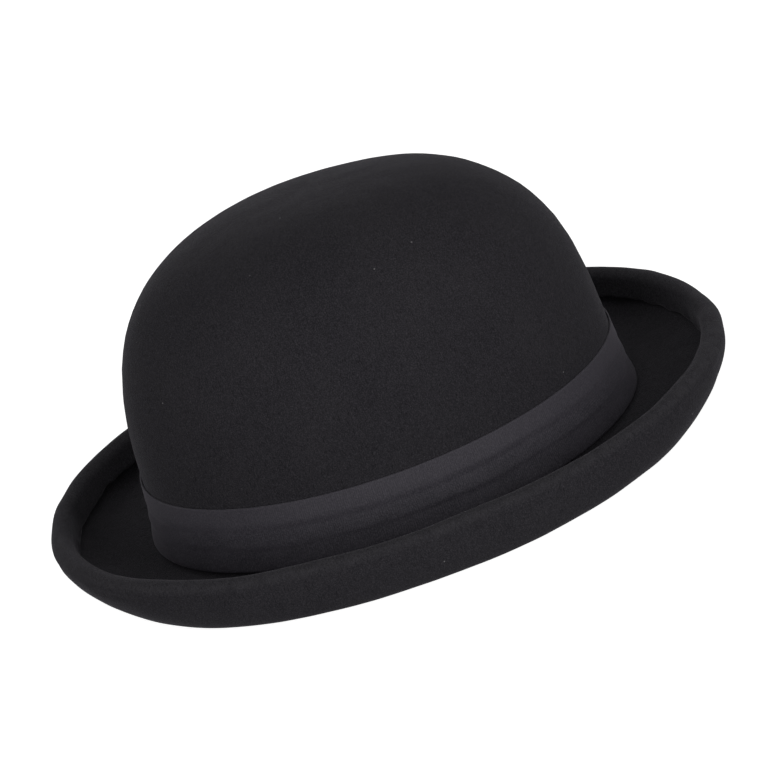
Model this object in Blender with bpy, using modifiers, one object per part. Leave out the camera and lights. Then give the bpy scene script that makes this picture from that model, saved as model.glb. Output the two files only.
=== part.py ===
"""A bowler hat in black wool felt, as the separate pieces a hatter puts together.

Frame: +Z up, the hat standing on the underside of its brim at Z = 0. The front is at -Y, the
wearer's left is at +X, and the origin is under the middle of the brim. Lengths are in metres.

Every shell of the hat follows the oval of the crown, so a place on it is given by its turn
round the crown (0 at the wearer's left, a quarter turn at the back), how far it stands out from
the oval, and its height.
"""

from math import cos, exp, pi, radians, sin, sqrt

import bmesh
import bpy
from mathutils import Matrix, Vector

# Crown, measured on the outside of the felt
CROWN_HALF_LENGTH = 0.1014
CROWN_HALF_WIDTH = 0.0869
CROWN_HEIGHT = 0.1202  # from the brim break to the top
CROWN_SIDE_POWER = 3.58  # how long the wall stays upright
CROWN_TOP_POWER = 2.66  # how flat the top is
CROWN_FLARE = 0.0047  # how far the wall spreads at the brim break
FLARE_FADE = 0.0135  # the spread dies away over this height

# Brim, measured on the outside of the felt
FELT = 0.0025
BREAK_HEIGHT = 0.0028  # where the crown meets the upper side of the brim
BRIM_REACH = 0.0455  # from the crown's oval to the outermost edge
BRIM_REACH_CORNER_GAIN = 0.0008  # more at the four corners, less at the sides and ends
RIM_HEIGHT = 0.0226  # top of the rolled edge, from the ground
ROLL_RADIUS = 0.0045  # outside of the rolled edge
ROLL_HANG = 0.0115  # from the top of the roll down to the raw edge inside it
CURL_SIDE = 0.0080  # how much of the brim curls up at the sides
CURL_END = 0.0360  # and at front and back
CURL_SHARPNESS = 6.5  # how quickly the one turns into the other
CURL_BACK_BIAS = 0.25  # quicker at the back, slower at the front
BREAK_ROUNDING = 0.0022  # where the rounding of the brim break starts on either side

# Band and bow
GAP = 0.0003  # between pieces that touch
RIBBON = 0.0007
BAND_BOTTOM = 0.0018  # above the brim break
BAND_TOP = 0.0281
BAND_JOIN = radians(0.3)  # half the slit where the ribbon's ends meet, under the bow
BOW_RIBBON = 0.0005
BOW_LOOP = 0.036  # from the middle of the bow to the fold
BOW_START = 0.0035
BOW_DEPTH = 0.0016  # between the two layers of a loop
BOW_HALF_HEIGHT = 0.0118
BOW_PINCH = 0.78  # height of a loop at the knot, as a share
KNOT_WIDTH = 0.013
KNOT_RIBBON = 0.0006

# Inside of the head opening
SWEATBAND = 0.0010
SWEATBAND_BOTTOM = 0.0040  # heights from the ground
SWEATBAND_TOP = 0.0360
SWEATBAND_OFFSET = 0.0036  # outer face of the leather, in from the outside of the felt
REED_RADIUS = 0.0008
REED_HEIGHT = 0.0026
REAR_BOW_HALF_WIDTH = 0.012
REAR_BOW_HALF_HEIGHT = 0.0045
REAR_BOW_WAIST = 0.0016
REAR_BOW_HEIGHT = 0.0230
REAR_BOW_THICKNESS = 0.0008

# Lining
LINING = 0.0004
LINING_INSET = 0.0029
LINING_BOTTOM = 0.0230
TIP_SEAM_ANGLE = radians(47)  # where the wall of the lining meets its tip
PIPING_RADIUS = 0.0007

# Labels
SIZE_LABEL = (0.020, 0.011, 0.0004)  # width, height, thickness
SIZE_LABEL_TURN = radians(62)
SIZE_LABEL_HEIGHT = 0.021
CARE_LABEL = (0.030, 0.024, 0.0005)
CARE_LABEL_TURN = pi
CARE_LABEL_HINGE_HEIGHT = 0.0350

# Brim wire
WIRE_RADIUS = 0.0006
WIRE_RISE = 0.0003  # above the middle of the roll
WIRE_GAP = 0.0012  # between its two ends
FERRULE_BORE = 0.00092
FERRULE_RADIUS = 0.00125
FERRULE_LENGTH = 0.010

SPOKES = 48


def oval(turn, inset=0.0):
    """A point of the crown's oval, or of the oval that lies inset within it."""
    x = (CROWN_HALF_WIDTH - inset) * cos(turn)
    y = (CROWN_HALF_LENGTH - inset) * sin(turn)
    return Vector((x, y, 0.0))


def outward(turn):
    """The level direction that leaves the oval at right angles."""
    return Vector((CROWN_HALF_LENGTH * cos(turn), CROWN_HALF_WIDTH * sin(turn), 0.0)).normalized()


def flare(height):
    """How far the crown's wall spreads at this height from the ground."""
    return CROWN_FLARE * exp(-(height - BREAK_HEIGHT) / FLARE_FADE)


def wall_scale(height):
    """How much the crown has drawn in at this height, as a share of its oval."""
    rise = max(0.0, (height - BREAK_HEIGHT) / CROWN_HEIGHT)
    return (1 - rise**CROWN_SIDE_POWER) ** (1 / CROWN_TOP_POWER)


def on_wall(turn, height, offset):
    """A point that stands out by offset from the outside of the crown's wall."""
    place = oval(turn) * wall_scale(height) + outward(turn) * (flare(height) + offset)
    place.z = height
    return place


def on_dome(turn, angle, inset):
    """A point of the crown drawn in by inset: angle 0 is the top and a right angle the base."""
    scale = sin(angle) ** (2 / CROWN_TOP_POWER)
    height = BREAK_HEIGHT + (CROWN_HEIGHT - inset) * cos(angle) ** (2 / CROWN_SIDE_POWER)
    place = oval(turn, inset) * scale + outward(turn) * flare(height) * scale
    place.z = height
    return place


def brim_reach(turn):
    """From the crown's oval to the outermost edge of the brim."""
    return BRIM_REACH - BRIM_REACH_CORNER_GAIN * cos(4 * turn)


def curl_width(turn):
    """How much of the brim the curl takes up."""
    sharpness = CURL_SHARPNESS * (1 + CURL_BACK_BIAS * sin(turn))
    return CURL_SIDE + (CURL_END - CURL_SIDE) * abs(sin(turn)) ** sharpness


def on_brim(turn, offset, height):
    """A point of the brim's middle layer, offset out from the middle of the crown's felt."""
    place = oval(turn, FELT / 2) + outward(turn) * offset
    place.z = height
    return place


def arc(centre, radii, start, stop, steps):
    """Points (out, up) of an elliptical arc, without its first."""
    points = []
    for step in range(1, steps + 1):
        angle = start + (stop - start) * step / steps
        points.append((centre[0] + radii[0] * cos(angle), centre[1] + radii[1] * sin(angle)))
    return points


def rounded_corner(before, corner, after, steps):
    """Points (out, up) of a smooth corner, from before to after."""
    points = []
    for step in range(steps + 1):
        share = step / steps
        weights = ((1 - share) ** 2, 2 * share * (1 - share), share**2)
        ends = (before, corner, after)
        out = sum(weight * end[0] for weight, end in zip(weights, ends))
        up = sum(weight * end[1] for weight, end in zip(weights, ends))
        points.append((out, up))
    return points


def brim_section(turn):
    """Middle layer of the brim at this turn, from the break to the raw edge, as (out, up)."""
    floor = FELT / 2
    corner = (flare(floor), floor)
    slope = CROWN_FLARE / FLARE_FADE
    lean = BREAK_ROUNDING / sqrt(1 + slope**2)
    before = (corner[0] - lean * slope, floor + lean)
    after = (corner[0] + BREAK_ROUNDING, floor)
    points = rounded_corner(before, corner, after, 3)
    reach = brim_reach(turn)
    curl = curl_width(turn)
    roll = ROLL_RADIUS - FELT / 2
    roll_middle = (reach - roll, RIM_HEIGHT - ROLL_RADIUS)
    curl_middle = (reach - (curl - FELT / 2), roll_middle[1])
    points.append((curl_middle[0], floor))
    curl_radii = (curl - FELT / 2, roll_middle[1] - floor)
    points += arc(curl_middle, curl_radii, -pi / 2, 0, 6)
    points += arc(roll_middle, (roll, roll), 0, pi, 7)
    points.append((roll_middle[0] - roll, RIM_HEIGHT - ROLL_HANG))
    return points


def all_turns():
    return [2 * pi * spoke / SPOKES for spoke in range(SPOKES)]


def material(name, colour, roughness, metallic=0.0):
    made = bpy.data.materials.new(name)
    made.use_nodes = True
    shader = made.node_tree.nodes["Principled BSDF"]
    shader.inputs["Base Color"].default_value = (*colour, 1.0)
    shader.inputs["Roughness"].default_value = roughness
    shader.inputs["Metallic"].default_value = metallic
    return made


def finish(made, name, finish_material, collection):
    """Names an object, puts it in the hat's collection alone and gives it its material."""
    made.name = name
    for owner in list(made.users_collection):
        owner.objects.unlink(made)
    collection.objects.link(made)
    made.data.materials.clear()
    made.data.materials.append(finish_material)
    return made


def sheet(name, rows, closed, thickness, side, apex=None):
    """A shell from rows of points, thickened to one side (1 outward, -1 inward, 0 both)."""
    grid = bmesh.new()
    rings = [[grid.verts.new(point) for point in row] for row in rows]
    count = len(rows[0])
    last = count if closed else count - 1
    for upper, lower in zip(rings, rings[1:]):
        for column in range(last):
            beside = (column + 1) % count
            grid.faces.new((upper[column], lower[column], lower[beside], upper[beside]))
    if apex is not None:
        top = grid.verts.new(apex)
        for column in range(last):
            grid.faces.new((top, rings[0][column], rings[0][(column + 1) % count]))
    mesh = bpy.data.meshes.new(name)
    grid.to_mesh(mesh)
    grid.free()
    mesh.shade_smooth()
    made = bpy.data.objects.new(name, mesh)
    thicken = made.modifiers.new("thickness", "SOLIDIFY")
    thicken.thickness = thickness
    thicken.offset = side
    thicken.use_even_offset = True
    return made


def tube(name, points, radius, cyclic):
    """A wire, reed or cord that runs through the points."""
    curve = bpy.data.curves.new(name, "CURVE")
    curve.dimensions = "3D"
    curve.bevel_depth = radius
    curve.bevel_resolution = 2
    curve.use_fill_caps = True
    line = curve.splines.new("POLY")
    line.points.add(len(points) - 1)
    for target, point in zip(line.points, points):
        target.co = (*point, 1.0)
    line.use_cyclic_u = cyclic
    return bpy.data.objects.new(name, curve)


def felt_body():
    """The crown and the brim: one felt hood, with the edge of the brim rolled inward."""
    turns = all_turns()
    dome_angles = [radians(angle) for angle in (7, 15, 24, 33, 42, 51, 60, 69, 77)]
    rows = [[on_dome(turn, angle, FELT / 2) for turn in turns] for angle in dome_angles]
    for above_break in (0.030, 0.018, 0.010, 0.0045):
        height = BREAK_HEIGHT + above_break
        rows.append([on_wall(turn, height, -FELT / 2) for turn in turns])
    sections = [brim_section(turn) for turn in turns]
    for step in range(len(sections[0])):
        places = zip(turns, sections)
        rows.append([on_brim(turn, *section[step]) for turn, section in places])
    apex = Vector((0, 0, BREAK_HEIGHT + CROWN_HEIGHT - FELT / 2))
    return sheet("felt_body", rows, True, FELT, 0, apex)


def wire_place(turn):
    """Middle of the wire inside the roll."""
    offset = brim_reach(turn) - ROLL_RADIUS + FELT / 2
    return on_brim(turn, offset, RIM_HEIGHT - ROLL_RADIUS + WIRE_RISE)


def brim_wire():
    """The spring-steel hoop in the rolled edge, open at the back."""
    back = pi / 2
    step = 2 * pi / SPOKES
    end = WIRE_GAP / 2 / wire_place(back).y
    in_ferrule = [end, step / 4, step / 2, 3 * step / 4]
    turns = [back + turn for turn in in_ferrule]
    turns += [back + step * spoke for spoke in range(1, SPOKES)]
    turns += [back + 2 * pi - turn for turn in reversed(in_ferrule)]
    return tube("brim_wire", [wire_place(turn) for turn in turns], WIRE_RADIUS, False)


def brim_wire_ferrule():
    """The small tube that joins the two ends of the wire: a turned ring on the line X."""
    half = FERRULE_LENGTH / 2
    profile = bmesh.new()
    outline = ((FERRULE_RADIUS, half), (FERRULE_RADIUS, -half), (FERRULE_BORE, -half), (FERRULE_BORE, half))
    corners = [profile.verts.new((radius, 0, along)) for radius, along in outline]
    for first, second in zip(corners, corners[1:] + corners[:1]):
        profile.edges.new((first, second))
    mesh = bpy.data.meshes.new("brim_wire_ferrule")
    profile.to_mesh(mesh)
    profile.free()
    made = bpy.data.objects.new("brim_wire_ferrule", mesh)
    made.location = wire_place(pi / 2)
    made.rotation_euler = (0, pi / 2, 0)
    turned = made.modifiers.new("turned", "SCREW")
    turned.axis = "Z"
    turned.steps = 12
    turned.render_steps = 12
    turned.use_merge_vertices = True
    turned.merge_threshold = 0.00001
    return made


def hat_band():
    """The ribbon round the crown; its ends meet under the bow."""
    inner = [2 * pi * spoke / SPOKES for spoke in range(1, SPOKES)]
    turns = [BAND_JOIN, *inner, 2 * pi - BAND_JOIN]
    rows = []
    for step in range(4):
        height = BREAK_HEIGHT + BAND_TOP + (BAND_BOTTOM - BAND_TOP) * step / 3
        rows.append([on_wall(turn, height, GAP) for turn in turns])
    return sheet("hat_band", rows, False, RIBBON, 1)


def bow_loop(name, direction):
    """One flat loop of the bow: a ribbon that runs out from the knot, folds and runs back."""
    near = GAP + RIBBON + GAP + BOW_RIBBON / 2
    turn_back = BOW_DEPTH / 2
    fold = arc((BOW_LOOP - turn_back, near + turn_back), (turn_back, turn_back), -pi / 2, pi / 2, 4)
    out_points = [BOW_START + (BOW_LOOP - turn_back - BOW_START) * step / 4 for step in range(5)]
    path = [(along, near) for along in out_points]
    path += fold
    path += [(along, near + BOW_DEPTH) for along in reversed(out_points[:-1])]
    middle = BREAK_HEIGHT + (BAND_TOP + BAND_BOTTOM) / 2
    girth = CROWN_HALF_LENGTH + CROWN_FLARE / 2
    rows = []
    for share in (1, 1 / 3, -1 / 3, -1):
        row = []
        for along, offset in path:
            spread = BOW_PINCH + (1 - BOW_PINCH) * along / BOW_LOOP
            height = middle + share * BOW_HALF_HEIGHT * spread
            row.append(on_wall(direction * along / girth, height, offset))
        rows.append(row)
    return sheet(name, rows, False, BOW_RIBBON, 0)


def bow_knot():
    """The ribbon wrapped over the middle of the bow, turned in above and below the loops."""
    inner = GAP + RIBBON + GAP + KNOT_RIBBON / 2
    outer = GAP + RIBBON + GAP + BOW_RIBBON + BOW_DEPTH + GAP + KNOT_RIBBON
    top = BREAK_HEIGHT + BAND_TOP - 0.0008
    bottom = BREAK_HEIGHT + BAND_BOTTOM + 0.0012
    bend = 0.0008
    profile = [(inner, top), (outer - bend, top)]
    profile += arc((outer - bend, top - bend), (bend, bend), pi / 2, 0, 3)
    profile += [(outer + 0.0003, (top + bottom) / 2), (outer, bottom + bend)]
    profile += arc((outer - bend, bottom + bend), (bend, bend), 0, -pi / 2, 3)
    profile.append((inner, bottom))
    half = KNOT_WIDTH / 2 / (CROWN_HALF_LENGTH + CROWN_FLARE / 2)
    rows = [[on_wall(half * side, height, offset) for side in (-1, 0, 1)] for offset, height in profile]
    return sheet("bow_knot", rows, False, KNOT_RIBBON, 0)


def sweatband():
    """The leather strip inside the head opening."""
    rows = []
    for step in range(4):
        height = SWEATBAND_TOP + (SWEATBAND_BOTTOM - SWEATBAND_TOP) * step / 3
        rows.append([on_wall(turn, height, -SWEATBAND_OFFSET) for turn in all_turns()])
    return sheet("sweatband", rows, True, SWEATBAND, -1)


def sweatband_reed():
    """The round reed sewn along the lower edge of the sweatband."""
    places = []
    for turn in all_turns():
        place = on_wall(turn, SWEATBAND_BOTTOM, -SWEATBAND_OFFSET - SWEATBAND / 2)
        place.z = REED_HEIGHT
        places.append(place)
    return tube("sweatband_reed", places, REED_RADIUS, True)


def sweatband_face(turn, height, half_width, thickness):
    """Middle of a flat piece that lies on the inner face of the sweatband without cutting it."""
    reach = SWEATBAND_OFFSET + SWEATBAND + GAP
    middle = on_wall(turn, height, -reach)
    girth = CROWN_HALF_LENGTH if abs(cos(turn)) > abs(sin(turn)) else CROWN_HALF_WIDTH
    side = on_wall(turn + half_width / girth, height, -reach)
    hollow = max(0.0, (middle - side).dot(outward(turn)))
    return middle - outward(turn) * (hollow + thickness / 2 + GAP)


def facing(turn):
    """A turn about Z that lays local X along the oval and local Y outward."""
    out = outward(turn)
    along = Vector((out.y, -out.x, 0))
    up = Vector((0, 0, 1))
    return Matrix((along, out, up)).transposed().to_4x4()


def rear_bow():
    """The small flat bow that marks the back of the sweatband."""
    curve = bpy.data.curves.new("sweatband_bow", "CURVE")
    curve.dimensions = "2D"
    curve.fill_mode = "BOTH"
    curve.extrude = REAR_BOW_THICKNESS / 2
    wide, tall, waist = REAR_BOW_HALF_WIDTH, REAR_BOW_HALF_HEIGHT, REAR_BOW_WAIST
    corners = ((wide, tall), (0, waist), (-wide, tall), (-wide, -tall), (0, -waist), (wide, -tall))
    line = curve.splines.new("POLY")
    line.points.add(len(corners) - 1)
    for target, corner in zip(line.points, corners):
        target.co = (*corner, 0, 1)
    line.use_cyclic_u = True
    made = bpy.data.objects.new("sweatband_bow", curve)
    place = sweatband_face(pi / 2, REAR_BOW_HEIGHT, wide, REAR_BOW_THICKNESS)
    made.matrix_world = Matrix.Translation(place) @ Matrix.Rotation(pi / 2, 4, "X")
    return made


def label(name, size, turn, middle_height, fixed_height):
    """A flat woven label on the sweatband, with its origin at fixed_height."""
    bpy.ops.mesh.primitive_cube_add(size=1)
    made = bpy.context.object
    stretch = Matrix.Diagonal((size[0], size[2], size[1], 1))
    made.data.transform(stretch)
    made.data.transform(Matrix.Translation((0, 0, middle_height - fixed_height)))
    place = sweatband_face(turn, SWEATBAND_TOP, size[0] / 2, size[2])
    if abs(fixed_height - middle_height) < size[1] / 4:
        place = sweatband_face(turn, middle_height + size[1] / 2, size[0] / 2, size[2])
    place.z = fixed_height
    made.matrix_world = Matrix.Translation(place) @ facing(turn)
    return made


def lining_wall():
    """The side of the lining, tucked behind the top of the sweatband."""
    turns = all_turns()
    angles = [TIP_SEAM_ANGLE + radians(1.5 + 9.5 * step) for step in range(4)]
    rows = [[on_dome(turn, angle, LINING_INSET) for turn in turns] for angle in angles]
    rows.append([on_wall(turn, LINING_BOTTOM, -LINING_INSET) for turn in turns])
    return sheet("lining_wall", rows, True, LINING, -1)


def lining_tip():
    """The oval top of the lining."""
    turns = all_turns()
    angles = [(TIP_SEAM_ANGLE - radians(1.5)) * step / 4 for step in range(1, 5)]
    rows = [[on_dome(turn, angle, LINING_INSET) for turn in turns] for angle in angles]
    apex = Vector((0, 0, BREAK_HEIGHT + CROWN_HEIGHT - LINING_INSET))
    return sheet("lining_tip", rows, True, LINING, -1, apex)


def lining_piping():
    """The thin cord that covers the seam between the lining's wall and its tip."""
    inset = LINING_INSET + LINING + GAP + PIPING_RADIUS + 0.0002
    places = [on_dome(turn, TIP_SEAM_ANGLE, inset) for turn in all_turns()]
    return tube("lining_piping", places, PIPING_RADIUS, True)


def build():
    for old in list(bpy.data.objects):
        bpy.data.objects.remove(old)
    hat = bpy.data.collections.new("bowler_hat")
    bpy.context.scene.collection.children.link(hat)
    felt = material("wool_felt", (0.020, 0.019, 0.022), 0.95)
    ribbon = material("ribbon", (0.022, 0.021, 0.024), 0.70)
    leather = material("sweatband_leather", (0.035, 0.026, 0.020), 0.55)
    satin = material("lining_satin", (0.025, 0.024, 0.028), 0.40)
    steel = material("wire_steel", (0.55, 0.55, 0.56), 0.35, 1.0)
    brass = material("ferrule_brass", (0.65, 0.48, 0.22), 0.35, 1.0)
    reed = material("reed_plastic", (0.03, 0.03, 0.03), 0.50)
    woven = material("label_tape", (0.70, 0.69, 0.66), 0.80)
    finish(felt_body(), "felt_body", felt, hat)
    finish(brim_wire(), "brim_wire", steel, hat)
    finish(brim_wire_ferrule(), "brim_wire_ferrule", brass, hat)
    finish(hat_band(), "hat_band", ribbon, hat)
    finish(bow_loop("bow_rear_loop", 1), "bow_rear_loop", ribbon, hat)
    finish(bow_loop("bow_front_loop", -1), "bow_front_loop", ribbon, hat)
    finish(bow_knot(), "bow_knot", ribbon, hat)
    finish(sweatband(), "sweatband", leather, hat)
    finish(sweatband_reed(), "sweatband_reed", reed, hat)
    finish(rear_bow(), "sweatband_bow", ribbon, hat)
    finish(lining_wall(), "lining_wall", satin, hat)
    finish(lining_tip(), "lining_tip", satin, hat)
    finish(lining_piping(), "lining_piping", satin, hat)
    size_label = label(
        "size_label", SIZE_LABEL, SIZE_LABEL_TURN, SIZE_LABEL_HEIGHT, SIZE_LABEL_HEIGHT
    )
    finish(size_label, "size_label", woven, hat)
    hanging = CARE_LABEL_HINGE_HEIGHT - CARE_LABEL[1] / 2
    care_label = label(
        "care_label", CARE_LABEL, CARE_LABEL_TURN, hanging, CARE_LABEL_HINGE_HEIGHT
    )
    finish(care_label, "care_label", woven, hat)


build()
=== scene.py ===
"""The looks of the bowler hat: fine felt, pleated ribbon, leather, satin and thread on the frame.

Every shell is a grid of points: one axis is the turn round the crown (0 at the wearer's left, a
quarter turn at the back), the other runs down or across the piece. Lengths are in metres.
"""

from math import cos, pi, radians, sin, sqrt

import bmesh
import bpy
import numpy as np
from mathutils import Matrix, Vector, noise


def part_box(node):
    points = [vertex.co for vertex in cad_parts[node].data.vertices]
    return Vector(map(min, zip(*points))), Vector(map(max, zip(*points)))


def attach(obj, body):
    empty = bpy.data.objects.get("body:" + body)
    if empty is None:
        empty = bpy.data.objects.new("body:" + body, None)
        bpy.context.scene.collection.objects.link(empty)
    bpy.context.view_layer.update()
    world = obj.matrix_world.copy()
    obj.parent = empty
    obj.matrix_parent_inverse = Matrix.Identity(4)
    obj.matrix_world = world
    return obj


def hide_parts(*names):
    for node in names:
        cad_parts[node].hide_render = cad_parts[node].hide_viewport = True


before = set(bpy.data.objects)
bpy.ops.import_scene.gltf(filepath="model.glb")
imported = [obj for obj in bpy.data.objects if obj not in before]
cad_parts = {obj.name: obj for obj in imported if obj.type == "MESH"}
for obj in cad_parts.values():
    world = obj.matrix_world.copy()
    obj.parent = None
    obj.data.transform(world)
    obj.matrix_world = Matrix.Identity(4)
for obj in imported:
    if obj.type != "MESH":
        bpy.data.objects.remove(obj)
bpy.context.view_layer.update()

# The hat's own dimensions, as its CAD part has them. FELT, RIBBON, BOW_RIBBON, KNOT_RIBBON,
# SWEATBAND, LINING, SMALL_RIBBON and LABEL_TAPE are thicknesses.
FELT = 0.0025
BREAK_HEIGHT = 0.0028
BRIM_REACH = 0.0455
BRIM_REACH_CORNER_GAIN = 0.0008
felt_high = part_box("felt_body")[1]
CROWN_HALF_WIDTH = felt_high.x - BRIM_REACH + BRIM_REACH_CORNER_GAIN
CROWN_HALF_LENGTH = felt_high.y - BRIM_REACH + BRIM_REACH_CORNER_GAIN
CROWN_HEIGHT = felt_high.z - BREAK_HEIGHT
CROWN_SIDE_POWER = 3.58
CROWN_TOP_POWER = 2.66
CROWN_FLARE = 0.0047
FLARE_FADE = 0.0135
RIM_HEIGHT = 0.0226
ROLL_RADIUS = 0.0045
ROLL_HANG = 0.0115
CURL_SIDE = 0.0080
CURL_END = 0.0360
CURL_SHARPNESS = 6.5
CURL_BACK_BIAS = 0.25
BREAK_ROUNDING = 0.0022
GAP = 0.0003
RIBBON = 0.0007
BAND_BOTTOM = BREAK_HEIGHT + 0.0018
BAND_TOP = BREAK_HEIGHT + 0.0281
BAND_JOIN = radians(0.06)
BOW_RIBBON = 0.0005
BOW_LOOP = 0.036
BOW_START = 0.0035
BOW_DEPTH = 0.0016
BOW_HALF_HEIGHT = 0.0118
BOW_PINCH = 0.78
KNOT_WIDTH = 0.013
KNOT_RIBBON = 0.0006
SWEATBAND = 0.0010
SWEATBAND_BOTTOM = 0.0040
SWEATBAND_TOP = 0.0360
SWEATBAND_OFFSET = 0.0036
REED_RADIUS = 0.0008
REED_HEIGHT = 0.0026
LINING = 0.0004
LINING_INSET = 0.0029
LINING_BOTTOM = 0.0230
TIP_SEAM_ANGLE = radians(47)
SEAM_MARGIN = radians(1.5)
PIPING_RADIUS = 0.0007
SMALL_RIBBON = 0.0004
LABEL_TAPE = 0.00035

SPOKES = 400  # points round the fine shells
NOISE_GAIN = 1.6  # spreads Blender's noise over about -1 to 1


# ---------------------------------------------------------------- shape of the hat


def oval(turn, inset=0.0):
    """Points of the crown's oval, or of the oval that lies inset within it."""
    x = (CROWN_HALF_WIDTH - inset) * np.cos(turn)
    y = (CROWN_HALF_LENGTH - inset) * np.sin(turn)
    return np.stack((x, y, np.zeros_like(x)), axis=-1)


def outward(turn):
    """The level directions that leave the oval at right angles."""
    x = CROWN_HALF_LENGTH * np.cos(turn)
    y = CROWN_HALF_WIDTH * np.sin(turn)
    length = np.hypot(x, y)
    return np.stack((x / length, y / length, np.zeros_like(x)), axis=-1)


def flare(height):
    """How far the crown's wall stands out past its oval as it nears the brim."""
    return CROWN_FLARE * np.exp(-(height - BREAK_HEIGHT) / FLARE_FADE)


def wall_scale(height):
    """The crown's width at a height, over its width at the base."""
    rise = np.maximum(0.0, (height - BREAK_HEIGHT) / CROWN_HEIGHT)
    return (1 - rise**CROWN_SIDE_POWER) ** (1 / CROWN_TOP_POWER)


def on_wall(turn, height, offset):
    """Points that stand out by offset from the outside of the crown's wall."""
    height = height + np.zeros_like(turn)
    reach = (flare(height) + offset)[..., None]
    place = oval(turn) * wall_scale(height)[..., None] + outward(turn) * reach
    place[..., 2] = height
    return place


def on_dome(turn, angle, inset):
    """Points of the crown drawn in by inset: angle 0 is the top and a right angle the base."""
    scale = np.sin(angle) ** (2 / CROWN_TOP_POWER) + np.zeros_like(turn)
    share = np.cos(angle) ** (2 / CROWN_SIDE_POWER)
    height = BREAK_HEIGHT + (CROWN_HEIGHT - inset) * share + np.zeros_like(turn)
    place = oval(turn, inset) * scale[..., None]
    place += outward(turn) * (flare(height) * scale)[..., None]
    place[..., 2] = height
    return place


def brim_reach(turn):
    """How far the brim reaches past the crown; its oval is a little squarer than the crown's."""
    return BRIM_REACH - BRIM_REACH_CORNER_GAIN * np.cos(4 * turn)


def curl_width(turn):
    """How much of the brim's width its curl takes up: little at the sides, most at front and back."""
    sharpness = CURL_SHARPNESS * (1 + CURL_BACK_BIAS * np.sin(turn))
    return CURL_SIDE + (CURL_END - CURL_SIDE) * np.abs(np.sin(turn)) ** sharpness


def on_brim(turn, offset, height):
    """Points of the brim's middle layer, offset out from the middle of the crown's felt."""
    place = oval(turn, FELT / 2) + outward(turn) * offset[..., None]
    place[..., 2] = height
    return place


def smooth_step(value, low, high):
    """Rises smoothly from 0 at low to 1 at high."""
    share = np.clip((value - low) / (high - low), 0.0, 1.0)
    return share * share * (3 - 2 * share)


def waves(turn, count, seed):
    """Smooth random waves round the hat, about count of them, between -1 and 1."""
    radius = count / pi
    values = [noise.noise(Vector((radius * cos(t), radius * sin(t), seed))) for t in turn]
    return np.array(values) * NOISE_GAIN


def lumps(points, size, seed):
    """Smooth random values over space, with lumps of about this size, between -1 and 1."""
    shifted = points.reshape(-1, 3) / size + seed
    values = [noise.noise(Vector(point)) for point in shifted]
    return np.array(values).reshape(points.shape[:-1]) * NOISE_GAIN


def all_turns(count=SPOKES):
    """Evenly spaced turns that go once round the hat."""
    return np.arange(count) * 2 * pi / count


# ---------------------------------------------------------------- mesh tools


def ring_normals(rows):
    """Unit normals of a grid of closed rings; they face out where the rings follow each other down."""
    down = np.gradient(rows, axis=0)
    along = (np.roll(rows, -1, axis=1) - np.roll(rows, 1, axis=1)) / 2
    normals = np.cross(down, along)
    return normals / np.linalg.norm(normals, axis=-1, keepdims=True)


def make_object(name, points, faces, uvs=None):
    """A smooth mesh object in the scene; uvs has one pair of lengths for each point."""
    mesh = bpy.data.meshes.new(name)
    mesh.from_pydata([tuple(point) for point in points], [], faces)
    if uvs is not None:
        layer = mesh.uv_layers.new(name="metres")
        flat = np.array([uvs[corner] for face in faces for corner in face], np.float32)
        layer.data.foreach_set("uv", flat.ravel())
    mesh.shade_smooth()
    made = bpy.data.objects.new(name, mesh)
    bpy.context.scene.collection.objects.link(made)
    return made


def grid_faces(row_count, column_count, cyclic):
    """Four-sided faces between the points of a grid; cyclic rows are closed rings."""
    faces = []
    last = column_count if cyclic else column_count - 1
    for row in range(row_count - 1):
        upper = row * column_count
        lower = upper + column_count
        for column in range(last):
            beside = (column + 1) % column_count
            faces.append((upper + column, lower + column, lower + beside, upper + beside))
    return faces


def grid_uvs(rows):
    """Real lengths along and across a grid, in metres."""
    along = np.linalg.norm(np.diff(rows, axis=1), axis=-1)
    across = np.linalg.norm(np.diff(rows, axis=0), axis=-1)
    u = np.concatenate((np.zeros((len(rows), 1)), np.cumsum(along, axis=1)), axis=1)
    v = np.concatenate((np.zeros((1, rows.shape[1])), np.cumsum(across, axis=0)), axis=0)
    middle = len(rows) // 2
    return np.stack((np.broadcast_to(u[middle], u.shape), v), axis=-1).reshape(-1, 2)


def thicken(made, thickness, even=True):
    """Gives a sheet two faces and a rim, half its thickness to each side."""
    shell = made.modifiers.new("thickness", "SOLIDIFY")
    shell.thickness = thickness
    shell.offset = 0.0
    shell.use_even_offset = even
    return made


def ribbon_sheet(name, rows, thickness, cyclic=False):
    """A thin shell from a grid of points."""
    faces = grid_faces(*rows.shape[:2], cyclic)
    return thicken(make_object(name, rows.reshape(-1, 3), faces, grid_uvs(rows)), thickness)


def outward_facing(made):
    """Turns the faces of a closed mesh so that they all point out."""
    grid = bmesh.new()
    grid.from_mesh(made.data)
    bmesh.ops.recalc_face_normals(grid, faces=grid.faces)
    grid.to_mesh(made.data)
    grid.free()
    return made


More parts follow.
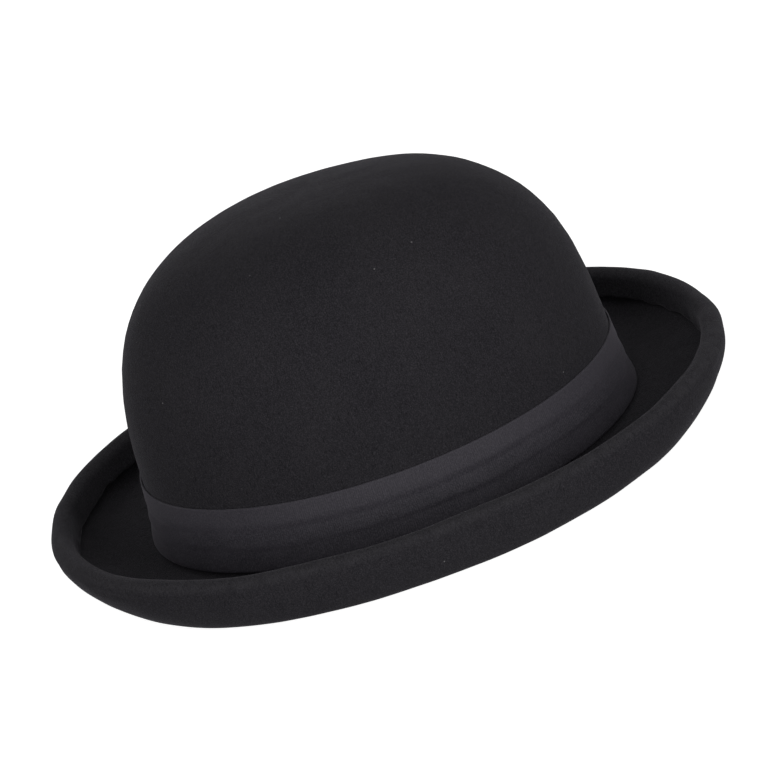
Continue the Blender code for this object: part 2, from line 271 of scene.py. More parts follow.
def closed_tube(name, path, radius, lobes=0, lobe_depth=0.0, twist=0.0):
    """A ring of tube along a closed path, or a laid cord when it has lobes that twist round it."""
    sides = 12
    tangent = np.roll(path, -1, axis=0) - np.roll(path, 1, axis=0)
    tangent /= np.linalg.norm(tangent, axis=1, keepdims=True)
    across = np.cross(tangent, (0.0, 0.0, 1.0))
    across /= np.linalg.norm(across, axis=1, keepdims=True)
    over = np.cross(across, tangent)
    angle = np.arange(sides) * 2 * pi / sides
    steps = np.arange(len(path))[:, None]
    girth = radius * (1 + lobe_depth * np.cos(lobes * (angle[None, :] - twist * steps)))
    rings = path[:, None] + across[:, None] * (girth * np.cos(angle))[..., None]
    rings += over[:, None] * (girth * np.sin(angle))[..., None]
    faces = []
    for step in range(len(path)):
        here, there = step * sides, ((step + 1) % len(path)) * sides
        for corner in range(sides):
            beside = (corner + 1) % sides
            faces.append((here + corner, here + beside, there + beside, there + corner))
    return outward_facing(make_object(name, rings.reshape(-1, 3), faces))


def stitches(name, places, alongs, outs, length, radius):
    """Short bowed stitches of thread, one closed body each, as one piece."""
    shares = np.linspace(-1, 1, 7)
    sides = 6
    dip = 1.4 * radius  # how far a stitch's ends sink into what it holds
    blunt = 0.12  # keeps the ends from coming to a point
    points = []
    faces = []
    for place, along, out in zip(places, alongs, outs):
        across = np.cross(along, out)
        start = len(points)
        for share in shares:
            middle = place + along * share * length / 2 - out * share**2 * dip
            girth = radius * sqrt(max(blunt, 1 - share**4))
            for corner in range(sides):
                angle = 2 * pi * corner / sides
                points.append(middle + (across * cos(angle) + out * sin(angle)) * girth)
        for step in range(len(shares) - 1):
            here = start + step * sides
            for corner in range(sides):
                beside = (corner + 1) % sides
                low, high = here + corner, here + beside
                faces.append((low, high, high + sides, low + sides))
        faces.append(tuple(start + corner for corner in reversed(range(sides))))
        end = start + (len(shares) - 1) * sides
        faces.append(tuple(end + corner for corner in range(sides)))
    return outward_facing(make_object(name, points, faces))


# ---------------------------------------------------------------- material tools


class Painter:
    """Builds one procedural material round a Principled shader."""

    def __init__(self, name, roughness, metallic=0.0):
        self.material = bpy.data.materials.new(name)
        self.material.use_nodes = True
        self.tree = self.material.node_tree
        self.shader = self.tree.nodes["Principled BSDF"]
        self.set(Roughness=roughness, Metallic=metallic)
        self.height = None
        where = self.tree.nodes.new("ShaderNodeTexCoord")
        self.space = where.outputs["Object"]
        self.surface = where.outputs["UV"]

    def set(self, **values):
        for name, value in values.items():
            self.shader.inputs[name.replace("_", " ")].default_value = value

    def node(self, kind, links=(), **settings):
        made = self.tree.nodes.new("ShaderNode" + kind)
        for name, value in settings.items():
            setattr(made, name, value)
        for socket, source in dict(links).items():
            if isinstance(source, bpy.types.NodeSocket):
                self.tree.links.new(source, made.inputs[socket])
            else:
                made.inputs[socket].default_value = source
        return made

    def noise(self, size, detail=3.0, roughness=0.55, vector=None, distortion=0.0):
        """Noise between 0 and 1 with lumps of about this size in metres."""
        values = {
            "Vector": vector or self.space,
            "Scale": 1 / size,
            "Detail": detail,
            "Roughness": roughness,
            "Distortion": distortion,
        }
        return self.node("TexNoise", values).outputs[0]

    def stretched(self, factors, vector=None):
        """The coordinates, scaled by one factor for each axis."""
        links = {"Vector": vector or self.space, "Scale": factors}
        return self.node("Mapping", links).outputs[0]

    def fit(self, value, low, high, new_low=0.0, new_high=1.0):
        """Maps low..high to new_low..new_high, clamped."""
        links = {0: value, 1: low, 2: high, 3: new_low, 4: new_high}
        return self.node("MapRange", links).outputs[0]

    def calc(self, operation, first, second=0.0):
        made = self.node("Math", {0: first, 1: second}, operation=operation)
        return made.outputs[0]

    def mix(self, share, first, second):
        made = self.tree.nodes.new("ShaderNodeMix")
        made.data_type = "RGBA"
        for socket, source in zip((0, 6, 7), (share, first, second)):
            if isinstance(source, bpy.types.NodeSocket):
                self.tree.links.new(source, made.inputs[socket])
            elif socket == 0:
                made.inputs[socket].default_value = source
            else:
                made.inputs[socket].default_value = (*source, 1.0)
        return made.outputs[2]

    def colour(self, source):
        self.tree.links.new(source, self.shader.inputs["Base Color"])

    def roughness(self, source):
        self.tree.links.new(source, self.shader.inputs["Roughness"])

    def bump(self, source, distance, strength=1.0):
        """Adds relief of this depth in metres on top of what is there."""
        links = {"Height": source, "Distance": distance, "Strength": strength}
        if self.height is not None:
            links["Normal"] = self.height
        self.height = self.node("Bump", links).outputs[0]
        self.tree.links.new(self.height, self.shader.inputs["Normal"])


def felt_material():
    """Black wool felt: a short matted nap, a painted highlight along the top of the roll, and a little
    lint.
    """
    paint = Painter("wool_felt", 0.92)
    fibres = paint.noise(0.00045, 4.0, 0.65)
    hairs = paint.noise(0.0011, 3.0, 0.6, paint.stretched((1.0, 2.6, 0.7)), 1.2)
    mottle = paint.noise(0.0042, 4.0, 0.6)
    clouds = paint.noise(0.034, 3.0, 0.5)
    cloud_share = paint.fit(clouds, 0.32, 0.68)
    ground = paint.mix(cloud_share, (0.0146, 0.0138, 0.0167), (0.0186, 0.0175, 0.0203))
    mottle_and_ridge_highlight = paint.mix(paint.fit(mottle, 0.38, 0.72, 0.0, 0.25), ground, (0.0215, 0.0198, 0.0232))
    height = paint.node("SeparateXYZ", {0: paint.space}).outputs[2]
    on_brim = paint.calc("LESS_THAN", height, RIM_HEIGHT + 0.002)
    # Painted highlight: the top few millimetres of the roll are drawn paler, in patches, standing in
    # for light from above.
    ridge = paint.fit(height, RIM_HEIGHT - 0.0038, RIM_HEIGHT - 0.0014)
    ridge_highlight = paint.calc("MULTIPLY", ridge, paint.fit(mottle, 0.35, 0.60, 0.35, 0.75))
    mottle_and_ridge_highlight = paint.mix(paint.calc("MULTIPLY", ridge_highlight, on_brim), mottle_and_ridge_highlight, (0.0340, 0.0325, 0.0360))
    flecked = paint.mix(paint.fit(fibres, 0.46, 0.74, 0.0, 0.85), mottle_and_ridge_highlight, (0.054, 0.051, 0.058))
    dark = paint.mix(paint.fit(hairs, 0.50, 0.30, 0.0, 0.75), flecked, (0.0060, 0.0056, 0.0070))
    cells = paint.node("TexVoronoi", {"Vector": paint.space, "Scale": 1 / 0.0065})
    rare = paint.node("SeparateColor", {0: cells.outputs["Color"]}).outputs[0]
    near = paint.fit(cells.outputs["Distance"], 0.062, 0.034)
    lint = paint.calc("MULTIPLY", near, paint.calc("GREATER_THAN", rare, 0.90))
    paint.colour(paint.mix(paint.calc("MULTIPLY", lint, 0.5), dark, (0.28, 0.27, 0.28)))
    paint.bump(mottle, 0.00045, 0.35)
    paint.bump(hairs, 0.00022, 0.6)
    paint.bump(fibres, 0.00016, 0.7)
    paint.set(Sheen_Weight=0.12, Sheen_Roughness=0.30, Sheen_Tint=(0.86, 0.83, 0.92, 1.0))
    paint.set(Specular_IOR_Level=0.1)
    return paint.material


def ribbon_material():
    """Black ribbon, faintly ribbed across, with a dull lilac bloom and a painted highlight on its
    upper pleat.
    """
    paint = Painter("ribbon", 0.62)
    split = paint.node("SeparateXYZ", {0: paint.surface})
    ribs = paint.calc("SINE", paint.calc("MULTIPLY", split.outputs[0], 2 * pi / 0.00085))
    threads = paint.calc("SINE", paint.calc("MULTIPLY", split.outputs[1], 2 * pi / 0.00045))
    weave = paint.calc("ADD", paint.fit(ribs, -1.0, 1.0), paint.fit(threads, -1.0, 1.0, 0.0, 0.35))
    fuzz = paint.noise(0.0006, 3.0, 0.6)
    bloom = paint.noise(0.012, 3.0, 0.5, paint.stretched((1.0, 1.0, 2.2)))
    bloom_share = paint.fit(bloom, 0.32, 0.70)
    base = paint.mix(bloom_share, (0.0222, 0.0204, 0.0262), (0.0322, 0.0295, 0.0370))
    # Painted highlight: the ribbon is drawn paler towards its upper edge, standing in for light from
    # above.
    upper_pleat_highlight = paint.fit(split.outputs[1], 0.0125, 0.0050, 0.0, 0.75)
    base = paint.mix(upper_pleat_highlight, base, (0.0400, 0.0366, 0.0450))
    speck = paint.mix(paint.fit(fuzz, 0.42, 0.75, 0.0, 0.8), base, (0.072, 0.067, 0.079))
    paint.colour(paint.mix(paint.fit(ribs, 0.1, -1.0, 0.0, 0.2), speck, (0.012, 0.011, 0.015)))
    paint.bump(fuzz, 0.00010, 0.45)
    paint.bump(weave, 0.00008, 0.5)
    paint.set(Sheen_Weight=0.12, Sheen_Roughness=0.35, Sheen_Tint=(0.88, 0.84, 0.95, 1.0))
    paint.set(Specular_IOR_Level=0.2)
    return paint.material


def leather_material():
    """Thin dark sweatband leather with a fine pebbled grain and paler worn crests."""
    paint = Painter("sweatband_leather", 0.5)
    warped = paint.noise(0.004, 2.0)
    grain = paint.node("TexVoronoi", {"Vector": paint.space, "Scale": 1 / 0.0011, "Randomness": 0.9})
    crest = paint.fit(grain.outputs["Distance"], 0.15, 0.75, 1.0, 0.0)
    pores = paint.noise(0.0005, 3.0)
    wear = paint.noise(0.018, 4.0, 0.6)
    base = paint.mix(paint.fit(wear, 0.35, 0.70), (0.024, 0.0165, 0.0120), (0.050, 0.034, 0.024))
    paint.colour(paint.mix(paint.calc("MULTIPLY", crest, 0.45), base, (0.075, 0.052, 0.038)))
    paint.roughness(paint.fit(warped, 0.3, 0.7, 0.42, 0.60))
    paint.bump(crest, 0.00014, 0.6)
    paint.bump(pores, 0.00005, 0.5)
    paint.set(Specular_IOR_Level=0.45)
    return paint.material


def satin_material():
    """Black satin: fine slanting twill threads and a soft gloss along them."""
    paint = Painter("lining_satin", 0.36)
    split = paint.node("SeparateXYZ", {0: paint.surface})
    slant = paint.calc("ADD", split.outputs[0], paint.calc("MULTIPLY", split.outputs[1], 1.6))
    threads = paint.calc("SINE", paint.calc("MULTIPLY", slant, 2 * pi / 0.00055))
    slubs = paint.noise(0.0016, 3.0, 0.6, paint.stretched((1.0, 1.0, 0.25)))
    clouds = paint.noise(0.025, 2.0)
    base = paint.mix(paint.fit(clouds, 0.3, 0.7), (0.020, 0.019, 0.024), (0.032, 0.030, 0.037))
    paint.colour(paint.mix(paint.fit(threads, 0.0, 1.0, 0.0, 0.30), base, (0.055, 0.052, 0.063)))
    paint.roughness(paint.fit(slubs, 0.3, 0.7, 0.30, 0.46))
    paint.bump(threads, 0.00004, 0.5)
    paint.bump(slubs, 0.00010, 0.4)
    paint.set(Specular_IOR_Level=0.6, Anisotropic=0.4)
    return paint.material


def label_material():
    """Off-white woven tape, blank, with a basket weave and a little yellowing."""
    paint = Painter("label_tape", 0.78)
    split = paint.node("SeparateXYZ", {0: paint.space})
    up = paint.calc("SINE", paint.calc("MULTIPLY", split.outputs[2], 2 * pi / 0.0006))
    round_it = paint.calc("ADD", split.outputs[0], split.outputs[1])
    across = paint.calc("SINE", paint.calc("MULTIPLY", round_it, 2 * pi / 0.0006))
    weave = paint.calc("MULTIPLY", up, across)
    stain = paint.noise(0.006, 4.0)
    base = paint.mix(paint.fit(stain, 0.35, 0.7), (0.66, 0.64, 0.59), (0.73, 0.72, 0.69))
    paint.colour(paint.mix(paint.fit(weave, 0.1, 1.0, 0.0, 0.35), base, (0.50, 0.485, 0.45)))
    paint.bump(weave, 0.00008, 0.6)
    paint.set(Specular_IOR_Level=0.3, Sheen_Weight=0.1)
    return paint.material


def thread_material(name, light, dark):
    """Twisted sewing thread."""
    paint = Painter(name, 0.6)
    ply = paint.noise(0.00025, 2.0, 0.5, paint.stretched((1.0, 1.0, 1.8)))
    paint.colour(paint.mix(paint.fit(ply, 0.35, 0.65), dark, light))
    paint.bump(ply, 0.00006, 0.6)
    paint.set(Sheen_Weight=0.15)
    return paint.material


def plastic_material():
    """Extruded black plastic reed with faint lengthwise drawing marks."""
    paint = Painter("reed_plastic", 0.42)
    streaks = paint.noise(0.0012, 3.0, 0.5, paint.stretched((0.3, 0.3, 6.0)))
    paint.colour(paint.mix(paint.fit(streaks, 0.3, 0.7), (0.022, 0.022, 0.023), (0.040, 0.040, 0.041)))
    paint.roughness(paint.fit(streaks, 0.3, 0.7, 0.36, 0.50))
    paint.bump(streaks, 0.00004, 0.4)
    return paint.material


def metal_material(name, light, dark, size):
    """Drawn wire or tube: long scratches and a slight tarnish."""
    paint = Painter(name, 0.32, 1.0)
    scratches = paint.noise(size, 3.0, 0.6, paint.stretched((0.25, 1.0, 5.0)))
    tarnish = paint.noise(0.004, 4.0)
    paint.colour(paint.mix(paint.fit(tarnish, 0.42, 0.75), light, dark))
    paint.roughness(paint.fit(scratches, 0.3, 0.7, 0.24, 0.42))
    paint.bump(scratches, 0.00003, 0.4)
    return paint.material


# ---------------------------------------------------------------- felt

DOME_ROWS = 34
DOME_SCALES = (0.022, 0.955)  # the width of the dome's first and last row, over the crown's
WALL_ROWS = 20
WALL_HEIGHTS = (0.0645, 0.0050)  # of the wall's first and last row
BREAK_ROWS = 7
CURL_ROWS = 28
ROLL_ROWS = 16
HANG_ROWS = 6
RAW_EDGE_ROWS = 7
EDGE_SQUARENESS = 0.6  # 0 would round the raw edge, 1 would leave it square
EDGE_FULLNESS = 0.7  # how far the raw edge stands out, over half the felt's thickness
FREE_HEIGHTS = (0.034, 0.046)  # above the band, where the crown's unevenness sets in
UNEVEN_ROWS = (8, 16)  # rows past the crown over which the brim's unevenness sets in
ROWS_PAST_MARK = 16  # the last rows, in the roll and past it, which the groove leaves alone


def crown_rows(turns):
    """The crown's middle layer, from near the top down to the start of the brim break."""
    rows = []
    for scale in np.linspace(*DOME_SCALES, DOME_ROWS):
        angle = np.arcsin(scale ** (CROWN_TOP_POWER / 2))
        rows.append(on_dome(turns, angle, FELT / 2))
    for height in np.linspace(*WALL_HEIGHTS, WALL_ROWS):
        rows.append(on_wall(turns, height, -FELT / 2))
    return rows


def brim_rows(turns):
    """The brim's middle layer, from the break through the curl and the roll to the raw edge."""
    base = FELT / 2
    break_out = flare(np.float64(base))
    slope = CROWN_FLARE / FLARE_FADE
    lean = BREAK_ROUNDING / sqrt(1 + slope**2)
    before = (break_out - lean * slope, base + lean)
    after = (break_out + BREAK_ROUNDING, base)
    level = np.zeros_like(turns)
    rows = []
    for share in np.linspace(0, 1, BREAK_ROWS):
        weights = ((1 - share) ** 2, 2 * share * (1 - share), share**2)
        out = weights[0] * before[0] + weights[1] * break_out + weights[2] * after[0]
        up = weights[0] * before[1] + weights[1] * base + weights[2] * after[1]
        rows.append(on_brim(turns, out + level, up))
    rim_wave = 0.00045 * waves(turns, 14, 3.1)
    reach = brim_reach(turns) + 0.0003 * waves(turns, 20, 7.7)
    curl = curl_width(turns) - FELT / 2
    roll = ROLL_RADIUS - FELT / 2
    roll_height = RIM_HEIGHT - ROLL_RADIUS + rim_wave
    curl_start = reach - curl
    for share in (0.25, 0.5, 0.75, 1.0):
        rows.append(on_brim(turns, after[0] + (curl_start - after[0]) * share, base))
    for angle in np.linspace(-pi / 2, 0, CURL_ROWS + 1)[1:]:
        out = curl_start + curl * cos(angle)
        rows.append(on_brim(turns, out, roll_height + (roll_height - base) * sin(angle)))
    for angle in np.linspace(0, pi, ROLL_ROWS + 1)[1:]:
        out = reach - roll + roll * cos(angle)
        rows.append(on_brim(turns, out, roll_height + roll * sin(angle)))
    edge_wave = 0.0007 * waves(turns, 58, 1.3) + 0.0004 * waves(turns, 23, 9.2)
    hang = roll_height - (RIM_HEIGHT - ROLL_HANG) + edge_wave
    flap = 0.0006 + 0.0005 * waves(turns, 46, 5.5)
    for share in np.linspace(0, 1, HANG_ROWS + 1)[1:]:
        out = reach - 2 * roll - flap * share**2
        rows.append(on_brim(turns, out, roll_height - hang * share))
    return rows


def press_mark(middle, turns):
    """How deep the faint groove under the roll is, left by the curling tool; it comes and goes."""
    depth = 0.00034 * smooth_step(waves(turns, 17, 31.0), -0.15, 0.45)
    height = RIM_HEIGHT - 0.0056 + 0.0005 * waves(turns, 9, 27.0)
    half_width = 0.0008
    marked = (np.arange(len(middle)) < len(middle) - ROWS_PAST_MARK)[:, None]
    return marked * depth * np.exp(-(((middle[..., 2] - height) / half_width) ** 2))


def felt_piece():
    """Crown and brim as one closed shell with a rounded raw edge and a hand-made unevenness."""
    turns = all_turns()
    crown, brim = crown_rows(turns), brim_rows(turns)
    middle = np.array(crown + brim)
    normals = ring_normals(middle)
    top = middle[0].mean(axis=0)
    top[2] = BREAK_HEIGHT + CROWN_HEIGHT - FELT / 2
    free = smooth_step(middle[..., 2], *FREE_HEIGHTS)
    past_crown = np.arange(len(middle)) - len(crown)
    rolled = smooth_step(past_crown, *UNEVEN_ROWS)[:, None]
    uneven = 0.00035 * lumps(middle, 0.045, 11.0) + 0.00010 * lumps(middle, 0.011, 4.0)
    outer = middle + normals * (FELT / 2 + uneven * np.maximum(free, rolled))[..., None]
    inner = middle - normals * (FELT / 2 + (uneven - press_mark(middle, turns)) * rolled)[..., None]
    edge = middle[-1] - middle[-2]
    edge /= np.linalg.norm(edge, axis=1, keepdims=True)
    rim = []
    for angle in np.linspace(0, pi, RAW_EDGE_ROWS + 2)[1:-1]:
        square = max(abs(cos(angle)), abs(sin(angle))) ** EDGE_SQUARENESS
        reach_out = normals[-1] * cos(angle) / square + edge * EDGE_FULLNESS * sin(angle) / square
        rim.append(middle[-1] + reach_out * FELT / 2)
    rows = np.concatenate((outer, rim, inner[::-1]))
    faces = grid_faces(len(rows), SPOKES, True)
    half = np.array((0, 0, FELT / 2))
    points = [*rows.reshape(-1, 3), top + half, top - half]
    upper, lower = len(points) - 2, len(points) - 1
    last = (len(rows) - 1) * SPOKES
    for column in range(SPOKES):
        beside = (column + 1) % SPOKES
        faces.append((upper, column, beside))
        faces.append((lower, last + beside, last + column))
    return make_object("felt_hood", points, faces)


# ---------------------------------------------------------------- ribbon band and bow

CREASES = (0.0, 0.31, 0.60, 1.0)  # where the three pleats begin, and the upper edge
PLEAT_LEAN = (0.00028, 0.00042, 0.00060)  # how far each pleat stands out just above its crease
CREASE_SHARE = 0.32  # how much of a pleat turns in towards its crease
PLEAT_UNDER_BOW = 0.12  # how much of each pleat is left where the bow presses on it
PLEATS_OPEN = (0.38, 0.60)  # turns from the bow's middle between which the pleats open up
BAND_ROWS = 43


def band_piece():
    """The ribbon round the crown, in three soft lengthwise pleats that flatten under the bow."""
    turns = np.concatenate(([BAND_JOIN], all_turns()[1:], [2 * pi - BAND_JOIN]))
    from_bow = np.minimum(turns, 2 * pi - turns)
    free = smooth_step(from_bow, *PLEATS_OPEN)
    wander = [0 * turns, 0.030 * waves(turns, 9, 2.0), 0.024 * waves(turns, 11, 6.0), 0 * turns]
    lines = [crease + shift * free for crease, shift in zip(CREASES, wander)]
    depths = []
    for pleat, most in enumerate(PLEAT_LEAN):
        depths.append(most * np.clip(1 + 0.7 * waves(turns, 11, 20.0 + pleat), 0.1, 1.6))
    rows = []
    for share in np.linspace(1, 0, BAND_ROWS):
        puff = np.zeros_like(turns)
        for depth, low, high in zip(depths, lines, lines[1:]):
            within = (share - low) / (high - low)
            inside = (within >= 0) & (within <= 1)
            lean = (1 - np.clip(within, 0, 1)) * smooth_step(within, -0.02, CREASE_SHARE)
            puff = np.where(inside, depth * lean, puff)
        puff *= PLEAT_UNDER_BOW + (1 - PLEAT_UNDER_BOW) * free
        offset = GAP + RIBBON / 2 + puff
        height = BAND_BOTTOM + (BAND_TOP - BAND_BOTTOM) * share
        rows.append(on_wall(turns, height, offset))
    return ribbon_sheet("ribbon_band", np.array(rows), RIBBON)


def bow_loop_piece(name, direction):
    """A flat loop of the bow: out from the knot, round a soft fold and back."""
    slack = 0.0002
    near = GAP + RIBBON + GAP + BOW_RIBBON / 2 + slack
    fold_radius = BOW_DEPTH / 2
    straight = np.linspace(BOW_START, BOW_LOOP - fold_radius, 22)
    fold = [-pi / 2 + pi * step / 10 for step in range(1, 10)]
    path = [(along, near, 0.0) for along in straight]
    for angle in fold:
        along = BOW_LOOP - fold_radius + fold_radius * cos(angle)
        path.append((along, near + fold_radius * (1 + sin(angle)), 0.5))
    path += [(along, near + BOW_DEPTH, 1.0) for along in straight[::-1]]
    middle = (BAND_TOP + BAND_BOTTOM) / 2
    girth = CROWN_HALF_LENGTH + CROWN_FLARE / 2
    along, offset, outer = np.array(path).T
    spread = BOW_PINCH + (1 - BOW_PINCH) * along / BOW_LOOP
    reach = (along - BOW_START) / (BOW_LOOP - BOW_START)
    rows = []
    for share in np.linspace(1, -1, 23):
        gather = 0.00028 * np.cos(share * 2.5 * pi) * np.exp(-reach * 4.0)
        pillow = 0.0009 * np.sin(pi * np.clip(reach, 0, 1)) * (1 - 0.5 * share**2)
        height = middle + share * BOW_HALF_HEIGHT * spread
        rows.append(on_wall(direction * along / girth, height, offset + outer * (gather + pillow)))
    rows = np.array(rows)
    if direction < 0:
        rows = rows[:, ::-1]
    return ribbon_sheet(name, rows, BOW_RIBBON)


def knot_piece():
    """The ribbon wrapped over the middle of the bow, with two soft lengthwise tucks."""
    slack = 0.0006
    inner = GAP + RIBBON + GAP + KNOT_RIBBON / 2
    outer = GAP + RIBBON + GAP + BOW_RIBBON + BOW_DEPTH + GAP + KNOT_RIBBON + slack
    top, bottom = BAND_TOP - 0.0008, BAND_BOTTOM + 0.0012
    bend = 0.0010
    profile = [(inner, top), ((inner + outer - bend) / 2, top), (outer - bend, top)]
    for step in range(1, 6):
        angle = pi / 2 * (1 - step / 5)
        profile.append((outer - bend + bend * cos(angle), top - bend + bend * sin(angle)))
    for share in np.linspace(0, 1, 18)[1:-1]:
        height = top - bend + (bottom - top + 2 * bend) * share
        profile.append((outer + 0.0003 * sin(pi * share), height))
    for step in range(6):
        angle = -pi / 2 * step / 5
        profile.append((outer - bend + bend * cos(angle), bottom + bend + bend * sin(angle)))
    profile += [((inner + outer - bend) / 2, bottom), (inner, bottom)]
    half = KNOT_WIDTH / 2 / (CROWN_HALF_LENGTH + CROWN_FLARE / 2)
    sides = np.linspace(-1, 1, 25)
    tucks = 0.00022 * np.cos(sides * 3 * pi) * (1 - sides**2)
    rows = []
    for offset, height in profile:
        raised = smooth_step(np.float64(offset), inner, outer)
        rows.append(on_wall(half * sides, height, offset + tucks * raised))
    return ribbon_sheet("ribbon_knot", np.array(rows), KNOT_RIBBON)


# ---------------------------------------------------------------- inside the hat


def sweatband_piece():
    """The leather strip, with a tooled line near its upper edge and a slightly wavy top."""
    turns = all_turns(300)
    line_share, line_width = 0.10, 0.034375  # of the strip's height
    rows = []
    for share in np.linspace(0, 1, 33):
        wave = 0.0005 * waves(turns, 12, 8.0) * (1 - share) ** 2
        height = SWEATBAND_TOP + (SWEATBAND_BOTTOM - SWEATBAND_TOP) * share
        tooled = -0.00025 * np.exp(-(((share - line_share) / line_width) ** 2))
        belly = 0.0005 * sin(pi * share)
        offset = -SWEATBAND_OFFSET - SWEATBAND / 2 + tooled - belly
        rows.append(on_wall(turns, height + wave, offset))
    return ribbon_sheet("leather_sweatband", np.array(rows), SWEATBAND, cyclic=True)


def reed_piece():
    """The reed under the sweatband's lower edge, as one closed ring."""
    turns = all_turns(300)
    path = on_wall(turns, SWEATBAND_BOTTOM, -SWEATBAND_OFFSET - SWEATBAND / 2)
    path[:, 2] = REED_HEIGHT
    return closed_tube("sweatband_reed_cord", path, REED_RADIUS)


def lining_wall_piece():
    """The side of the lining, gathered in soft folds towards the tip."""
    turns = all_turns(360)
    gather = waves(turns, 46, 12.0) + 0.5 * waves(turns, 90, 15.0)
    rows = []
    dome_span = radians(28.5)
    angles = TIP_SEAM_ANGLE + SEAM_MARGIN + np.linspace(0, dome_span, 20)
    for angle in angles:
        share = (angle - angles[0]) / dome_span
        fold = 0.0005 * (1 - share) ** 1.2 * (1 + gather)
        flat = on_dome(turns, angle, LINING_INSET + LINING / 2)
        rows.append(flat - outward(turns) * np.maximum(fold, 0)[:, None])
    lowest = rows[-1][0, 2]
    for height in np.linspace(lowest - 0.004, LINING_BOTTOM, 8):
        rows.append(on_wall(turns, height, -LINING_INSET - LINING / 2))
    return ribbon_sheet("satin_lining_wall", np.array(rows), LINING, cyclic=True)


def lining_tip_piece():
    """The oval top of the lining, slightly puckered along its seam and sagging in the middle."""
    turns = all_turns(360)
    pucker = 1 + waves(turns, 60, 18.0)
    edge_scale = sin(TIP_SEAM_ANGLE - SEAM_MARGIN) ** (2 / CROWN_TOP_POWER)
    rows = []
    for scale in np.linspace(0.02, edge_scale, 30):
        angle = np.arcsin(scale ** (CROWN_TOP_POWER / 2))
        row = on_dome(turns, angle, LINING_INSET + LINING / 2)
        share = scale / edge_scale
        row[:, 2] -= 0.0012 * (1 - share**2) + 0.0004 * pucker * share**6
        rows.append(row)
    rows = np.array(rows)
    faces = grid_faces(*rows.shape[:2], True)
    points = np.array([*rows.reshape(-1, 3), rows[0].mean(axis=0)])
    centre = len(points) - 1
    for column in range(len(turns)):
        faces.append((centre, column, (column + 1) % len(turns)))
    return thicken(make_object("satin_lining_tip", points, faces, points[:, :2]), LINING, even=False)


def piping_piece():
    """A two-ply cord laid along the seam between the lining's wall and its tip."""
    inset = LINING_INSET + LINING + GAP + PIPING_RADIUS + 0.0004
    steps, twists = 900, 75
    path = on_dome(all_turns(steps), TIP_SEAM_ANGLE, inset)
    return closed_tube(
        "satin_piping", path, PIPING_RADIUS, lobes=2, lobe_depth=0.22, twist=2 * pi * twists / steps
    )


def sweatband_stitches():
    """The seam that holds the sweatband and its reed to the felt."""
    count = 190
    turns = all_turns(count) + pi / count
    height = SWEATBAND_BOTTOM + 0.0022
    places = on_wall(turns, height, -SWEATBAND_OFFSET - SWEATBAND - 0.00030)
    alongs = np.stack((-outward(turns)[:, 1], outward(turns)[:, 0], 0 * turns), axis=-1)
    return stitches("sweatband_stitches", places, alongs, -outward(turns), 0.0021, 0.00022)


def rear_bow_piece():
    """The small ribbon bow that covers the sweatband's join at the back: two loops and a tie."""
    low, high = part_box("sweatband_bow")
    middle = (low + high) / 2
    wide, tall = (high.x - low.x) / 2, (high.z - low.z) / 2
    across = np.linspace(-1, 1, 41)
    rows = []
    for share in np.linspace(1, -1, 15):
        spread = 0.42 + 0.58 * np.abs(across) ** 0.8
        x = middle.x - across * wide
        z = middle.z + share * tall * spread
        puff = 0.0007 * np.sin(pi * np.clip(np.abs(across), 0, 1)) * (1 - share**2)
        tuck = 0.00018 * np.cos(share * 3 * pi) * np.exp(-np.abs(across) * 5)
        y = low.y + SMALL_RIBBON - puff - tuck
        rows.append(np.stack((x, y, z), axis=-1))
    return ribbon_sheet("sweatband_small_bow", np.array(rows), SMALL_RIBBON)


def rear_bow_tie():
    """The narrow wrap over the middle of the small bow."""
    low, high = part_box("sweatband_bow")
    middle = (low + high) / 2
    half_width, half_height, depth = 0.0013, 0.0026, 0.0009
    rows = []
    for angle in np.linspace(-0.9 * pi / 2, 0.9 * pi / 2, 13):
        sides = np.linspace(1, -1, 9)
        x = middle.x + sides * half_width
        y = low.y + 0.0003 - depth * cos(angle) * np.ones_like(x)
        z = middle.z - half_height * sin(angle) * np.ones_like(x)
        rows.append(np.stack((x, y, z), axis=-1))
    return ribbon_sheet("sweatband_bow_tie", np.array(rows), SMALL_RIBBON)


def label_place(node):
    """A label's middle, the level directions along it and out of the hat, its width and thickness."""
    corners = np.array([vertex.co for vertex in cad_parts[node].data.vertices], float)
    middle = corners.mean(axis=0)
    flat = (corners - middle)[:, :2]
    along = np.array((*np.linalg.svd(flat, full_matrices=False)[2][0], 0.0))
    out = middle * (1, 1, 0)
    out -= along * out.dot(along)
    out /= np.linalg.norm(out)
    width = 2 * np.abs(flat @ along[:2]).max()
    thickness = 2 * np.abs(flat @ out[:2]).max()
    return middle, along, out, width, thickness


def label_piece(name, node, curl):
    """A blank woven label: a thin strip with a turned-in upper end and a slight curl."""
    low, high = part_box(node)
    middle, along, out, width, thickness = label_place(node)
    hem_edge = (0.86, 0.90)  # shares of the label's height
    hem_depth = 0.45 * thickness
    columns = np.linspace(-1, 1, 31)
    rows = []
    for share in np.linspace(1, 0, 25):
        hem = hem_depth * smooth_step(np.float64(share), *hem_edge)
        lift = curl * (1 - share) ** 2 + 0.00012 * np.cos(columns * 4)
        point = middle + along * (columns * width / 2)[:, None]
        point = point - out * (lift + hem)[:, None]
        point[:, 2] = low.z + (high.z - low.z) * share
        rows.append(point)
    return ribbon_sheet(name, np.array(rows), LABEL_TAPE)


def label_stitches(name, node, share):
    """A short seam along a label at this share of its height."""
    low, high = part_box(node)
    middle, along, out, width, _ = label_place(node)
    pitch, proud = 0.0026, 0.0006
    count = int(width / pitch)
    places = []
    for step in range(count):
        place = middle + along * width * ((step + 0.5) / count - 0.5) - out * proud
        place[2] = low.z + (high.z - low.z) * share
        places.append(place)
    return stitches(name, places, [along] * count, [-out] * count, 0.0017, 0.00018)


# ---------------------------------------------------------------- putting the hat together


def dress(piece, material, slot, *nodes, body="hat"):
    """Gives a piece its material and body, and hides the CAD nodes that it replaces. The slot is not
    used.
    """
    piece.data.materials.append(material)
    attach(piece, body)
    if nodes:
        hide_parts(*nodes)
    return piece


